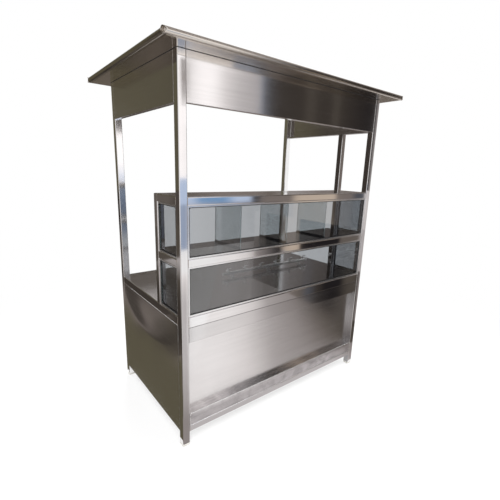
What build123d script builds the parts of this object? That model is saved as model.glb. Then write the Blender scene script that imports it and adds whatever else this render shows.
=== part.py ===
from build123d import *
import os

os.makedirs("parts", exist_ok=True)

# A stainless-steel food kiosk. X runs along the front, the front faces -Y, Z is up,
# and the origin lies on the ground under the middle of the four posts. All lengths are millimetres.

# Overall sizes
width = 1600.0  # over the corner posts, along X
depth = 940.0  # over the corner posts, along Y
height = 2134.0  # ground to the top of the roof
roof_overhang = 115.0  # post face to the outside of the rolled roof edge

# Tube and sheet stock
post_side = 45.0
case_tube = 42.0
base_tube = 40.0
roof_tube = 40.0
tube_corner = 4.0
tube_wall = 2.0
sheet = 1.2
bend_radius = 3.0  # outside of every fold

# Fits and cuts
seat_gap = 0.3  # clearance where a piece is notched round or seated on another
overrun = 5.0  # how far a cut runs past what it cuts

# Feet
foot_height = 15.0  # nylon pad under the post
plug_length = 25.0  # part of the foot inside the post
foot_chamfer = 3.0

# Heights of the base and the counter
base_bottom = 87.0  # underside of the base tubes
skirting_top = 206.0
apron_bottom = 655.0
counter_rail_top = 805.0
counter_rail_height = 62.0  # front and back
side_rail_height = 50.0
panel_return = 36.0  # fold of a side panel under its base tube

# Display case
case_depth = 310.0  # post front face to the back of the case
shelf_rail_top = 1126.0
case_top_height = 1446.0  # top of the case tubes
shelf_overhang = 30.0  # shelf past the back of the case posts
shelf_lip = 20.0  # fold along the shelf's back edge
partition_count = 3
partition_height = 255.0
partition_inset = 60.0  # post front face to a partition's front edge
partition_margin = 5.0  # a partition's back edge to the shelf's back edge

# Glazing
glass = 5.0
bead_width = 9.0
bead_depth = 12.0
groove_depth = 5.0
groove_play = 0.6  # groove width over the glass
pane_gap = 1.0  # pane edge to groove floor, sides and top

# Valances and roof
valance_height = 224.0
valance_return = 30.0
valance_lip = 12.0
roof_edge = 30.0  # diameter of the rolled edge
roof_corner = 22.0  # radius of the roof's corners, seen from above
roll_lap = 3.0  # how far the roof sheet stops inside the crown of its rolled edge

# Gas rail on the counter
gas_pipe = 25.0  # outside diameter
gas_pipe_wall = 2.5
gas_pipe_chamfer = 2.0
gas_rail_start = -220.0
gas_rail_length = 885.0
gas_rail_y = 5.0
gas_rail_lift = 30.0  # pipe centre above the counter
saddle_count = 3
saddle_thick = 14.0
saddle_width = 22.0
saddle_foot = 44.0
saddle_foot_height = 4.0
saddle_end = 90.0  # first and last saddle, from the pipe's ends
cock_count = 6
cock_end = 44.0  # first and last cock, from the pipe's ends
hex_sides = 6
cock_body = 16.0  # across the hexagon's corners
cock_bonnet = 12.0
cock_bonnet_height = 7.0
cock_rise = 26.0  # cock body above the pipe's centre line
nozzle = 8.0
nozzle_reach = 24.0
nozzle_collar = 12.0
nozzle_collar_reach = 13.0
lever_length = 38.0
lever_root = 12.0
lever_tip = 7.0
lever_thick = 4.0

# Places worked out from the sizes above
half_width = width / 2
half_depth = depth / 2
inner_x = half_width - post_side  # inner face of the posts, along X
inner_y = half_depth - post_side
roof_under = height - roof_edge
base_top = base_bottom + base_tube
deck_top = base_top + sheet
counter_top_z = counter_rail_top + sheet
panel_y = -half_depth + base_tube  # front face of the set-back front panel
case_back = -half_depth + case_depth
case_front_y = case_back - case_tube  # front face of the case's back posts
case_inner_x = half_width - case_tube
shelf_rail_bottom = shelf_rail_top - case_tube
case_rail_bottom = case_top_height - case_tube
shelf_back = case_back + shelf_overhang
valance_bottom = roof_under - valance_height
bead_inside = tube_corner + bead_depth  # post face to the inside of the glazing beads
roll_radius = roof_edge / 2
roll_z = height - roll_radius
roof_half_x = half_width + roof_overhang
roof_half_y = half_depth + roof_overhang
gas_z = counter_top_z + gas_rail_lift
gas_radius = gas_pipe / 2


def save(piece, node):
    """Label a finished piece and write it to its own file."""
    piece.label = node
    export_step(piece, f"parts/{node}.step")


def along_x(x, y, z):
    """Plane across the X direction, its own axes along +Y and +Z."""
    return Plane(origin=(x, y, z), x_dir=(0, 1, 0), z_dir=(1, 0, 0))


def along_y(x, y, z):
    """Plane across the Y direction, its own axes along +X and +Z, its normal towards -Y."""
    return Plane(origin=(x, y, z), x_dir=(1, 0, 0), z_dir=(0, -1, 0))


def box_tube(plane, across, tall, length):
    """Hollow tube with rounded corners, centred on the plane and run along its normal."""
    with BuildPart() as tube:
        with BuildSketch(plane):
            RectangleRounded(across, tall, tube_corner)
            Rectangle(across - 2 * tube_wall, tall - 2 * tube_wall, mode=Mode.SUBTRACT)
        extrude(amount=length)
    return tube.part


def folded_sheet(plane, points, length):
    """Sheet folded along a line of corners, thickened to the left of the line."""
    with BuildPart() as folded:
        with BuildSketch(plane):
            with BuildLine():
                FilletPolyline(*points, radius=bend_radius)
                offset(amount=sheet, side=Side.LEFT)
            make_face()
        extrude(amount=length)
    return folded.part


def mirrored(piece):
    """The same piece for the other end of the kiosk."""
    with BuildPart() as other:
        mirror(piece, about=Plane.YZ)
    return other.part


def evenly(first, last, count):
    """Evenly spaced places from the first to the last."""
    return [first + (last - first) * index / (count - 1) for index in range(count)]


# Corner posts and their feet
post_x = half_width - post_side / 2
post_y = half_depth - post_side / 2
post_places = {
    "front_left": (-post_x, -post_y),
    "front_right": (post_x, -post_y),
    "back_left": (-post_x, post_y),
    "back_right": (post_x, post_y),
}
for place, (x, y) in post_places.items():
    save(box_tube(Plane((x, y, foot_height)), post_side, post_side, roof_under - foot_height), f"post_{place}")

plug_side = post_side - 2 * tube_wall - 2 * seat_gap
with BuildPart() as feet:
    with BuildSketch():
        with Locations(*post_places.values()):
            RectangleRounded(post_side, post_side, tube_corner)
    extrude(amount=foot_height)
    chamfer(feet.faces().sort_by(Axis.Z)[: len(post_places)].edges(), length=foot_chamfer)
    with BuildSketch(Plane.XY.offset(foot_height)):
        with Locations(*post_places.values()):
            Rectangle(plug_side, plug_side)
    extrude(amount=plug_length)
save(feet.part, "post_feet")

# Base: tubes between the posts, deck, side panels and the front's three bands
base_z = base_bottom + base_tube / 2
base_y = half_depth - base_tube / 2
base_side_x = half_width - sheet - base_tube / 2
save(box_tube(along_x(-inner_x, -base_y, base_z), base_tube, base_tube, 2 * inner_x), "base_rail_front")
save(box_tube(along_x(-inner_x, base_y, base_z), base_tube, base_tube, 2 * inner_x), "base_rail_back")
with BuildPart() as base_side_rails:
    for x in (-base_side_x, base_side_x):
        add(box_tube(along_y(x, inner_y, base_z), base_tube, base_tube, 2 * inner_y))
save(base_side_rails.part, "base_rails_side")

post_notch = post_side + 2 * seat_gap
with BuildPart() as base_deck:
    with BuildSketch(Plane.XY.offset(base_top)):
        deck_front = -base_y
        deck_back = half_depth - tube_corner
        with Locations((0, (deck_front + deck_back) / 2)):
            Rectangle(2 * (half_width - sheet), deck_back - deck_front)
        with Locations(*post_places.values()):
            Rectangle(post_notch, post_notch, mode=Mode.SUBTRACT)
    extrude(amount=sheet)
save(base_deck.part, "base_deck")

side_panel_top = counter_rail_top - side_rail_height
left_panel = folded_sheet(
    along_y(0, inner_y, 0),
    [
        (-half_width, side_panel_top),
        (-half_width, base_bottom - sheet),
        (-half_width + panel_return, base_bottom - sheet),
    ],
    2 * inner_y,
)
save(left_panel, "left_panel")
save(mirrored(left_panel), "right_panel")

skirting = folded_sheet(
    along_x(-inner_x, 0, 0),
    [(panel_y, skirting_top), (-half_depth, skirting_top), (-half_depth, base_top)],
    2 * inner_x,
)
save(skirting, "skirting_front")

counter_rail_bottom = counter_rail_top - counter_rail_height
with BuildPart() as front_panel:
    with BuildSketch(Plane.XZ.offset(-panel_y)):
        with Locations((0, (deck_top + counter_rail_bottom) / 2)):
            Rectangle(2 * inner_x, counter_rail_bottom - deck_top)
    extrude(amount=-sheet)
save(front_panel.part, "front_panel")

apron = folded_sheet(
    along_x(-inner_x, 0, 0),
    [(-half_depth, counter_rail_bottom), (-half_depth, apron_bottom), (panel_y, apron_bottom)],
    2 * inner_x,
)
save(apron, "apron_front")

# Counter: a ring of tubes and the worktop sheet over them
counter_rail_z = counter_rail_top - counter_rail_height / 2
side_rail_z = counter_rail_top - side_rail_height / 2
for side, y in (("front", -post_y), ("back", post_y)):
    rail = box_tube(along_x(-inner_x, y, counter_rail_z), post_side, counter_rail_height, 2 * inner_x)
    save(rail, f"counter_rail_{side}")
for side, x in (("left", -post_x), ("right", post_x)):
    rail = box_tube(along_y(x, inner_y, side_rail_z), post_side, side_rail_height, 2 * inner_y)
    save(rail, f"counter_rail_{side}")

with BuildPart() as counter_top:
    with BuildSketch(Plane.XY.offset(counter_rail_top)):
        Rectangle(width - 2 * tube_corner, depth - 2 * tube_corner)
        with Locations(*post_places.values()):
            Rectangle(post_notch, post_notch, mode=Mode.SUBTRACT)
    extrude(amount=sheet)
save(counter_top.part, "counter_top")

# Display case: two back posts, the top ring and the shelf ring
case_post_x = half_width - case_tube / 2
case_post_y = case_back - case_tube / 2
case_post_places = (
    ("left", -case_post_x, case_top_height),
    ("right", case_post_x, valance_bottom),
)
for side, x, top in case_post_places:
    post = box_tube(Plane((x, case_post_y, counter_top_z)), case_tube, case_tube, top - counter_top_z)
    save(post, f"case_post_{side}")

case_rail_y = -half_depth + case_tube / 2
case_side_length = case_front_y + inner_y
for level, bottom in (("case_top_rail", case_rail_bottom), ("shelf_rail", shelf_rail_bottom)):
    middle = bottom + case_tube / 2
    save(box_tube(along_x(-inner_x, case_rail_y, middle), case_tube, case_tube, 2 * inner_x), f"{level}_front")
    for side, x in (("left", -case_post_x), ("right", case_post_x)):
        rail = box_tube(along_y(x, case_front_y, middle), case_tube, case_tube, case_side_length)
        save(rail, f"{level}_{side}")
back_rail_z = case_rail_bottom + case_tube / 2
back_rail = box_tube(along_x(-case_inner_x, case_post_y, back_rail_z), case_tube, case_tube, 2 * case_inner_x)
save(back_rail, "case_top_rail_back")

with BuildPart() as case_top:
    with BuildSketch(Plane.XY.offset(case_top_height)):
        case_top_front = -half_depth + tube_corner
        case_top_back = case_back - tube_corner
        with Locations((0, (case_top_front + case_top_back) / 2)):
            Rectangle(width - 2 * tube_corner, case_top_back - case_top_front)
        with Locations(post_places["front_left"], post_places["front_right"]):
            Rectangle(post_notch, post_notch, mode=Mode.SUBTRACT)
        with Locations((case_post_x, case_post_y)):
            Rectangle(case_tube + 2 * seat_gap, case_tube + 2 * seat_gap, mode=Mode.SUBTRACT)
    extrude(amount=sheet)
save(case_top.part, "case_top")

# Shelf: a sheet on the shelf tubes, let in between the posts, its back edge folded down
shelf_front = -half_depth + bead_inside + seat_gap
wing_front = -inner_y + seat_gap
wing_back = case_front_y - seat_gap
with BuildPart() as shelf:
    with BuildSketch(Plane.XY.offset(shelf_rail_top)):
        with Locations((0, (shelf_front + shelf_back) / 2)):
            Rectangle(2 * (inner_x - seat_gap), shelf_back - shelf_front)
        with Locations((0, (wing_front + wing_back) / 2)):
            Rectangle(2 * (half_width - bead_inside - seat_gap), wing_back - wing_front)
    extrude(amount=sheet)
    with BuildSketch(Plane.XY.offset(shelf_rail_top + sheet)):
        with Locations((0, shelf_back - sheet / 2)):
            Rectangle(2 * (case_inner_x - seat_gap), sheet)
    extrude(amount=-shelf_lip)
save(shelf.part, "display_shelf")

shelf_top = shelf_rail_top + sheet
partition_front = -half_depth + partition_inset
partition_back = shelf_back - partition_margin
bay = 2 * inner_x / (partition_count + 1)
with BuildPart() as partitions:
    with BuildSketch(Plane.XY.offset(shelf_top)):
        with Locations((0, (partition_front + partition_back) / 2)):
            with GridLocations(bay, bay, partition_count, 1):
                Rectangle(glass, partition_back - partition_front)
    extrude(amount=partition_height)
save(partitions.part, "shelf_partitions")

# Glazing: a grooved bead round each opening of the case and a pane held in its groove
front_plane_y = -half_depth + tube_corner
side_plane_x = half_width - tube_corner
side_middle_y = (case_front_y - inner_y) / 2
side_opening = case_side_length
levels = (
    ("lower", counter_top_z, shelf_rail_bottom),
    ("upper", shelf_rail_top, case_rail_bottom),
)
groove_floor = bead_width - groove_depth
groove_width = glass + groove_play


def opening_plane(side, z):
    """Plane on the outside of a glazed opening, its normal pointing out of the case."""
    if side == "front":
        return Plane(origin=(0, front_plane_y, z), x_dir=(1, 0, 0), z_dir=(0, -1, 0))
    if side == "left":
        return Plane(origin=(-side_plane_x, side_middle_y, z), x_dir=(0, -1, 0), z_dir=(-1, 0, 0))
    return Plane(origin=(side_plane_x, side_middle_y, z), x_dir=(0, 1, 0), z_dir=(1, 0, 0))


glazed_sides = (("front", 2 * inner_x), ("left", side_opening), ("right", side_opening))
with BuildPart() as beads:
    for side, opening_width in glazed_sides:
        for _, bottom, top in levels:
            plane = opening_plane(side, (bottom + top) / 2)
            opening_height = top - bottom
            with BuildSketch(plane):
                Rectangle(opening_width, opening_height)
                Rectangle(
                    opening_width - 2 * bead_width,
                    opening_height - 2 * bead_width,
                    mode=Mode.SUBTRACT,
                )
            extrude(amount=-bead_depth)
            with BuildSketch(plane.offset(-(bead_depth - groove_width) / 2)):
                Rectangle(opening_width - 2 * groove_floor, opening_height - 2 * groove_floor)
            extrude(amount=-groove_width, mode=Mode.SUBTRACT)
save(beads.part, "glazing_beads")

for side, opening_width in glazed_sides:
    with BuildPart() as panes:
        for _, bottom, top in levels:
            plane = opening_plane(side, (bottom + top) / 2)
            with BuildSketch(plane.offset(-(bead_depth - glass) / 2)):
                with Locations((0, -pane_gap / 2)):
                    Rectangle(
                        opening_width - 2 * (groove_floor + pane_gap),
                        top - bottom - 2 * groove_floor - pane_gap,
                    )
            extrude(amount=-glass)
    save(panes.part, f"{side}_glass")

# Valances hung between the posts on three sides, folded in along their lower edge
valance_front = folded_sheet(
    along_x(-inner_x, 0, 0),
    [
        (-half_depth, roof_under),
        (-half_depth, valance_bottom),
        (-half_depth + valance_return, valance_bottom),
        (-half_depth + valance_return, valance_bottom + valance_lip),
    ],
    2 * inner_x,
)
save(valance_front, "valance_front")
valance_left = folded_sheet(
    along_y(0, inner_y, 0),
    [
        (-half_width, roof_under),
        (-half_width, valance_bottom),
        (-half_width + valance_return, valance_bottom),
        (-half_width + valance_return, valance_bottom + valance_lip),
    ],
    2 * inner_y,
)
save(valance_left, "valance_left")
save(mirrored(valance_left), "valance_right")

# Roof: a ring of tubes, the ceiling sheet and the roof sheet with its edges rolled
roof_tube_z = roof_under - roof_tube / 2
front_tube_y = -half_depth + sheet + roof_tube / 2
back_tube_y = half_depth - roof_tube / 2
side_tube_x = half_width - sheet - roof_tube / 2
with BuildPart() as roof_rails:
    for y in (front_tube_y, back_tube_y):
        add(box_tube(along_x(-inner_x, y, roof_tube_z), roof_tube, roof_tube, 2 * inner_x))
    for x in (-side_tube_x, side_tube_x):
        add(box_tube(along_y(x, inner_y, roof_tube_z), roof_tube, roof_tube, 2 * inner_y))
save(roof_rails.part, "roof_rails")

roll_seat = (roll_radius**2 - (roll_radius - sheet) ** 2) ** 0.5
ceiling_half_x = roof_half_x - roll_radius - roll_seat - seat_gap
ceiling_half_y = roof_half_y - roll_radius - roll_seat - seat_gap
with BuildPart() as ceiling:
    with BuildSketch(Plane.XY.offset(roof_under)):
        Rectangle(2 * ceiling_half_x, 2 * ceiling_half_y)
    extrude(amount=sheet)
save(ceiling.part, "ceiling_sheet")

roll_x = roof_half_x - roll_radius
roll_y = roof_half_y - roll_radius
roll_bore = roll_radius - sheet
side_bore_half = roll_y - roll_radius
with BuildPart() as roof:
    with BuildSketch(Plane.XY.offset(height)):
        Rectangle(2 * (roll_x - roll_lap), 2 * (roll_y - roll_lap))
    extrude(amount=-sheet)
    for x in (-roll_x, roll_x):
        with BuildSketch(along_y(x, roll_y, roll_z)):
            Circle(roll_radius)
        extrude(amount=2 * roll_y)
    for y in (-roll_y, roll_y):
        with BuildSketch(along_x(-roof_half_x, y, roll_z)):
            Circle(roll_radius)
        extrude(amount=2 * roof_half_x)
    for x in (-roll_x, roll_x):
        with BuildSketch(along_y(x, side_bore_half, roll_z)):
            Circle(roll_bore)
        extrude(amount=2 * side_bore_half, mode=Mode.SUBTRACT)
    for y in (-roll_y, roll_y):
        with BuildSketch(along_x(-roof_half_x - overrun, y, roll_z)):
            Circle(roll_bore)
        extrude(amount=2 * (roof_half_x + overrun), mode=Mode.SUBTRACT)
    with BuildSketch(Plane.XY.offset(roof_under)):
        RectangleRounded(2 * roof_half_x, 2 * roof_half_y, roof_corner)
    extrude(amount=roof_edge, mode=Mode.INTERSECT)
save(roof.part, "roof_sheet")

# Gas rail: a capped pipe on saddles, with a row of cocks along its top
gas_rail_end = gas_rail_start + gas_rail_length
with BuildPart() as gas_rail:
    with BuildSketch(along_x(gas_rail_start, gas_rail_y, gas_z)):
        Circle(gas_radius)
    extrude(amount=gas_rail_length)
    chamfer(gas_rail.edges().filter_by(GeomType.CIRCLE), length=gas_pipe_chamfer)
    with BuildSketch(along_x(gas_rail_start + gas_pipe_wall, gas_rail_y, gas_z)):
        Circle(gas_radius - gas_pipe_wall)
    extrude(amount=gas_rail_length - 2 * gas_pipe_wall, mode=Mode.SUBTRACT)
save(gas_rail.part, "gas_rail")

with BuildPart() as saddles:
    for x in evenly(gas_rail_start + saddle_end, gas_rail_end - saddle_end, saddle_count):
        with BuildSketch(along_x(x - saddle_thick / 2, gas_rail_y, gas_z)):
            with Locations((0, -gas_rail_lift / 2)):
                Rectangle(saddle_width, gas_rail_lift)
            with Locations((0, -gas_rail_lift + saddle_foot_height / 2)):
                Rectangle(saddle_foot, saddle_foot_height)
            Circle(gas_radius + seat_gap, mode=Mode.SUBTRACT)
        extrude(amount=saddle_thick)
save(saddles.part, "gas_rail_saddles")

cock_top = gas_z + cock_rise
lever_z = cock_top + cock_bonnet_height
nozzle_z = gas_z + (gas_radius + cock_rise) / 2
with BuildPart() as cocks:
    for x in evenly(gas_rail_start + cock_end, gas_rail_end - cock_end, cock_count):
        with BuildSketch(Plane((x, gas_rail_y, gas_z))):
            RegularPolygon(cock_body / 2, hex_sides)
        extrude(amount=cock_rise)
        with BuildSketch(Plane((x, gas_rail_y, cock_top))):
            RegularPolygon(cock_bonnet / 2, hex_sides)
        extrude(amount=cock_bonnet_height)
        with BuildSketch(Plane((x, gas_rail_y, lever_z))):
            with BuildLine():
                Polyline(
                    (-lever_root / 2, -lever_root / 2),
                    (lever_length - lever_root / 2, -lever_tip / 2),
                    (lever_length - lever_root / 2, lever_tip / 2),
                    (-lever_root / 2, lever_root / 2),
                    close=True,
                )
            make_face()
        extrude(amount=lever_thick)
        nozzle_plane = Plane(origin=(x, gas_rail_y, nozzle_z), x_dir=(-1, 0, 0), z_dir=(0, 1, 0))
        with BuildSketch(nozzle_plane):
            RegularPolygon(nozzle_collar / 2, hex_sides)
        extrude(amount=nozzle_collar_reach)
        with BuildSketch(nozzle_plane):
            Circle(nozzle / 2)
        extrude(amount=nozzle_reach)
    with BuildSketch(along_x(gas_rail_start, gas_rail_y, gas_z)):
        Circle(gas_radius + seat_gap)
    extrude(amount=gas_rail_length, mode=Mode.SUBTRACT)
save(cocks.part, "gas_cocks")
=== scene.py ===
"""Street food kiosk in stainless steel: finishes, glazing rubber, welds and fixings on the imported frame.

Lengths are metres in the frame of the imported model: the ground is z = 0, the customer stands at -Y.
"""

from __future__ import annotations

import logging
import math
import sys
from collections.abc import Iterable, Mapping, Sequence
from dataclasses import dataclass, field, replace
from enum import Enum
from typing import Any, ClassVar

import bmesh
import bpy
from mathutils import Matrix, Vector

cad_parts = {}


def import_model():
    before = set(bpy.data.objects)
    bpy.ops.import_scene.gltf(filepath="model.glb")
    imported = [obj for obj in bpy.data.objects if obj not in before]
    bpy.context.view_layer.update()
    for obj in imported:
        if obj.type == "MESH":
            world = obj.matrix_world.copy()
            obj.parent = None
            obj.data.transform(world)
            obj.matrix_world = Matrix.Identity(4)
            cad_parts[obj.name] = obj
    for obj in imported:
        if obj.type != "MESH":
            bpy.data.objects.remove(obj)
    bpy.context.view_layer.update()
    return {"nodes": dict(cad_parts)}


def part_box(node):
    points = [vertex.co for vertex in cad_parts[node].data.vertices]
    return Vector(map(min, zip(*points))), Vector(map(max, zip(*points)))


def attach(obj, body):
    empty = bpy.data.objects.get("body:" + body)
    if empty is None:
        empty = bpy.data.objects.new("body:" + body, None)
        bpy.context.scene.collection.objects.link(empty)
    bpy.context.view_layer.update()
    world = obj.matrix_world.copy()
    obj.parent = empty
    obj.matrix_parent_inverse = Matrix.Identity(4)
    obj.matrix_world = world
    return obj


Colour = tuple[float, float, float]
Point = tuple[float, float, float]

log = logging.getLogger("kiosk")
BODY = "root"


def link(name: str, data: bpy.types.ID) -> bpy.types.Object:
    """Put a new object in the scene.

    Args:
        name: Name of the object.
        data: Its mesh, light or camera.

    Returns:
        The object.
    """
    made = bpy.data.objects.new(name, data)
    bpy.context.scene.collection.objects.link(made)
    return made


# Node graphs


class Value:
    """A number in a node graph; Python's operators add the Math nodes."""

    def __init__(self, graph: Graph, socket: bpy.types.NodeSocket) -> None:
        """Hold an output socket and the graph it belongs to."""
        self.graph = graph
        self.socket = socket

    def _math(self, operation: str, first: Any, second: Any) -> Value:
        """Result of one Math node, whose operands are Values or numbers."""
        made = self.graph.node("ShaderNodeMath", {"operation": operation}, {0: first, 1: second})
        return Value(self.graph, made.outputs[0])

    def __add__(self, other: Value | float) -> Value:
        """Sum."""
        return self._math("ADD", self, other)

    def __radd__(self, other: float) -> Value:
        """Sum with a number on the left."""
        return self._math("ADD", other, self)

    def __sub__(self, other: Value | float) -> Value:
        """Difference."""
        return self._math("SUBTRACT", self, other)

    def __rsub__(self, other: float) -> Value:
        """Difference with a number on the left."""
        return self._math("SUBTRACT", other, self)

    def __mul__(self, other: Value | float) -> Value:
        """Product."""
        return self._math("MULTIPLY", self, other)

    def __pow__(self, other: float) -> Value:
        """Power."""
        return self._math("POWER", self, other)

    def __abs__(self) -> Value:
        """Absolute value."""
        return self._math("ABSOLUTE", self, 0.0)


class Graph:
    """A node tree that is filled through one method."""

    def __init__(self, tree: bpy.types.NodeTree) -> None:
        """Hold the tree."""
        self.tree = tree

    def node(
        self,
        kind: str,
        settings: Mapping[str, Any] | None = None,
        sockets: Mapping[str | int, Any] | None = None,
    ) -> bpy.types.Node:
        """Add a node, set its settings and then its sockets.

        Args:
            kind: Blender's type name of the node.
            settings: Properties of the node; "stops" gives a ramp's (place, colour) pairs.
            sockets: Values or links by the input's index, identifier or name.

        Returns:
            The new node.
        """
        made = self.tree.nodes.new(kind)
        for name, value in (settings or {}).items():
            if name == "stops":
                self._ramp(made.color_ramp, value)
            else:
                setattr(made, name, value)
        for key, value in (sockets or {}).items():
            target = self._input(made, key)
            if isinstance(value, Value):
                self.tree.links.new(value.socket, target)
            elif isinstance(value, bpy.types.NodeSocket):
                self.tree.links.new(value, target)
            else:
                target.default_value = value
        return made

    def mix(self, share: Value, first: bpy.types.Node, second: bpy.types.Node) -> bpy.types.Node:
        """Mix two shader nodes: the first alone at share 0, the second alone at share 1."""
        sockets = {0: share, 1: first.outputs[0], 2: second.outputs[0]}
        return self.node("ShaderNodeMixShader", None, sockets)

    @staticmethod
    def _ramp(ramp: bpy.types.ColorRamp, stops: Sequence[tuple[float, Colour]]) -> None:
        """Give a colour ramp its stops, of which there are two or more.

        Args:
            ramp: The ramp, which starts with two stops.
            stops: Place from 0 to 1 and colour of each stop, in order.
        """
        for _ in range(len(stops) - 2):
            ramp.elements.new(0.5)
        for element, (place, _) in zip(ramp.elements, stops):
            element.position = place
        for element, (_, colour) in zip(ramp.elements, stops):
            element.color = (*colour, 1.0)

    @staticmethod
    def _input(made: bpy.types.Node, key: str | int) -> bpy.types.NodeSocket:
        """Find a node's input by its index, its identifier or its name.

        Args:
            made: The node.
            key: Index, identifier or name.

        Returns:
            The input socket.
        """
        if isinstance(key, int):
            return made.inputs[key]
        for socket in made.inputs:
            if socket.identifier == key:
                return socket
        return next(socket for socket in made.inputs if socket.name == key and socket.enabled)


class Shader(Graph):
    """The node tree of one material."""

    def __init__(self, name: str) -> None:
        """Make an empty material of this name."""
        self.material = bpy.data.materials.new(name)
        self.material.use_nodes = True
        super().__init__(self.material.node_tree)
        self.tree.nodes.clear()

    def place(self) -> bpy.types.NodeSocket:
        """Object coordinates, which are the frame's metres on every piece."""
        return self.node("ShaderNodeTexCoord").outputs["Object"]

    def noise(self, stretch: Point, detail: float = 2.0, warp: float = 0.0) -> Value:
        """Smooth noise of the object coordinates.

        Args:
            stretch: Waves per metre along X, Y and Z.
            detail: Blender's number of octaves.
            warp: Distortion.

        Returns:
            A value of about 0 to 1.
        """
        sockets = {"Vector": self.place(), "Scale": stretch}
        scaled = self.node("ShaderNodeMapping", {"vector_type": "POINT"}, sockets)
        made = self.node(
            "ShaderNodeTexNoise",
            {"noise_dimensions": "3D"},
            {"Vector": scaled.outputs[0], "Scale": 1.0, "Detail": detail, "Distortion": warp},
        )
        return Value(self, made.outputs[0])

    def axis(self, index: int) -> Value:
        """One object coordinate, 0 to 2 for X to Z."""
        return Value(self, self.node("ShaderNodeSeparateXYZ", None, {0: self.place()}).outputs[index])

    def facing(self, index: int) -> Value:
        """How far the surface faces along an axis, either way, from 0 to 1."""
        normal = self.node("ShaderNodeNewGeometry").outputs["Normal"]
        return abs(Value(self, self.node("ShaderNodeSeparateXYZ", None, {0: normal}).outputs[index]))

    def between(self, value: Value, low: float, high: float) -> Value:
        """Smooth step of a value.

        Args:
            value: The value.
            low: Where the step starts, at 0.
            high: Where the step ends, at 1.

        Returns:
            A value from 0 to 1.
        """
        sockets = {"Value": value, "From Min": low, "From Max": high}
        made = self.node("ShaderNodeMapRange", {"interpolation_type": "SMOOTHSTEP"}, sockets)
        return Value(self, made.outputs[0])

    def blend(self, share: Value, first: Any, second: Any) -> bpy.types.NodeSocket:
        """Mix two colours.

        Args:
            share: Share of the second colour.
            first: Colour or colour socket at share 0.
            second: Colour or colour socket at share 1.

        Returns:
            The mixed colour.
        """
        first, second = (
            (*colour, 1.0) if isinstance(colour, tuple) else colour for colour in (first, second)
        )
        sockets = {"Factor_Float": share, "A_Color": first, "B_Color": second}
        made = self.node("ShaderNodeMix", {"data_type": "RGBA", "clamp_factor": True}, sockets)
        return next(socket for socket in made.outputs if socket.enabled)

    def bump(
        self, height: Value, depth: float, below: bpy.types.NodeSocket | None = None
    ) -> bpy.types.NodeSocket:
        """Relief of a surface.

        Args:
            height: Height from 0 to 1.
            depth: Metres that a height of 1 stands for.
            below: Normal of a relief under this one.

        Returns:
            The normal.
        """
        sockets: dict[str | int, Any] = {"Height": height, "Distance": depth, "Strength": 1.0}
        if below is not None:
            sockets["Normal"] = below
        return self.node("ShaderNodeBump", None, sockets).outputs[0]

    def principled(self, sockets: Mapping[str | int, Any]) -> bpy.types.Node:
        """A Principled shader node with these inputs."""
        return self.node("ShaderNodeBsdfPrincipled", None, sockets)

    def surface(self, shader: bpy.types.Node) -> bpy.types.Material:
        """Use a shader node as the surface and return the material."""
        self.node("ShaderNodeOutputMaterial", None, {"Surface": shader.outputs[0]})
        return self.material


# Finishes


def shade(colour: Colour, factor: float) -> Colour:
    """A colour or another triple times a number."""
    return (colour[0] * factor, colour[1] * factor, colour[2] * factor)


class Grain(Enum):
    """Direction that a steel surface was brushed in."""

    ALONG_X = 0
    ALONG_Y = 1
    ALONG_Z = 2

    def stretch(self, across: float, along: float) -> Point:
        """Waves along X, Y and Z for a pattern with these waves across and along the grain."""
        x, y, z = (along if axis == self.value else across for axis in range(3))
        return (x, y, z)


@dataclass(frozen=True)
class Dent:
    """A shallow dish that was knocked into an upright side sheet."""

    centre: tuple[float, float]  # along Y and Z
    reach: tuple[float, float]  # half width along Y and Z
    depth: float

    def height(self, shader: Shader) -> Value:
        """The sheet's height from 0 in the dish's middle to 1 round it.

        Args:
            shader: Shader that the nodes join.

        Returns:
            The height.
        """
        along = (shader.axis(1) - self.centre[0]) * (1.0 / self.reach[0])
        up = (shader.axis(2) - self.centre[1]) * (1.0 / self.reach[1])
        away = along * along + up * up
        return shader.between(away, 0.0, 1.0)


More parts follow.
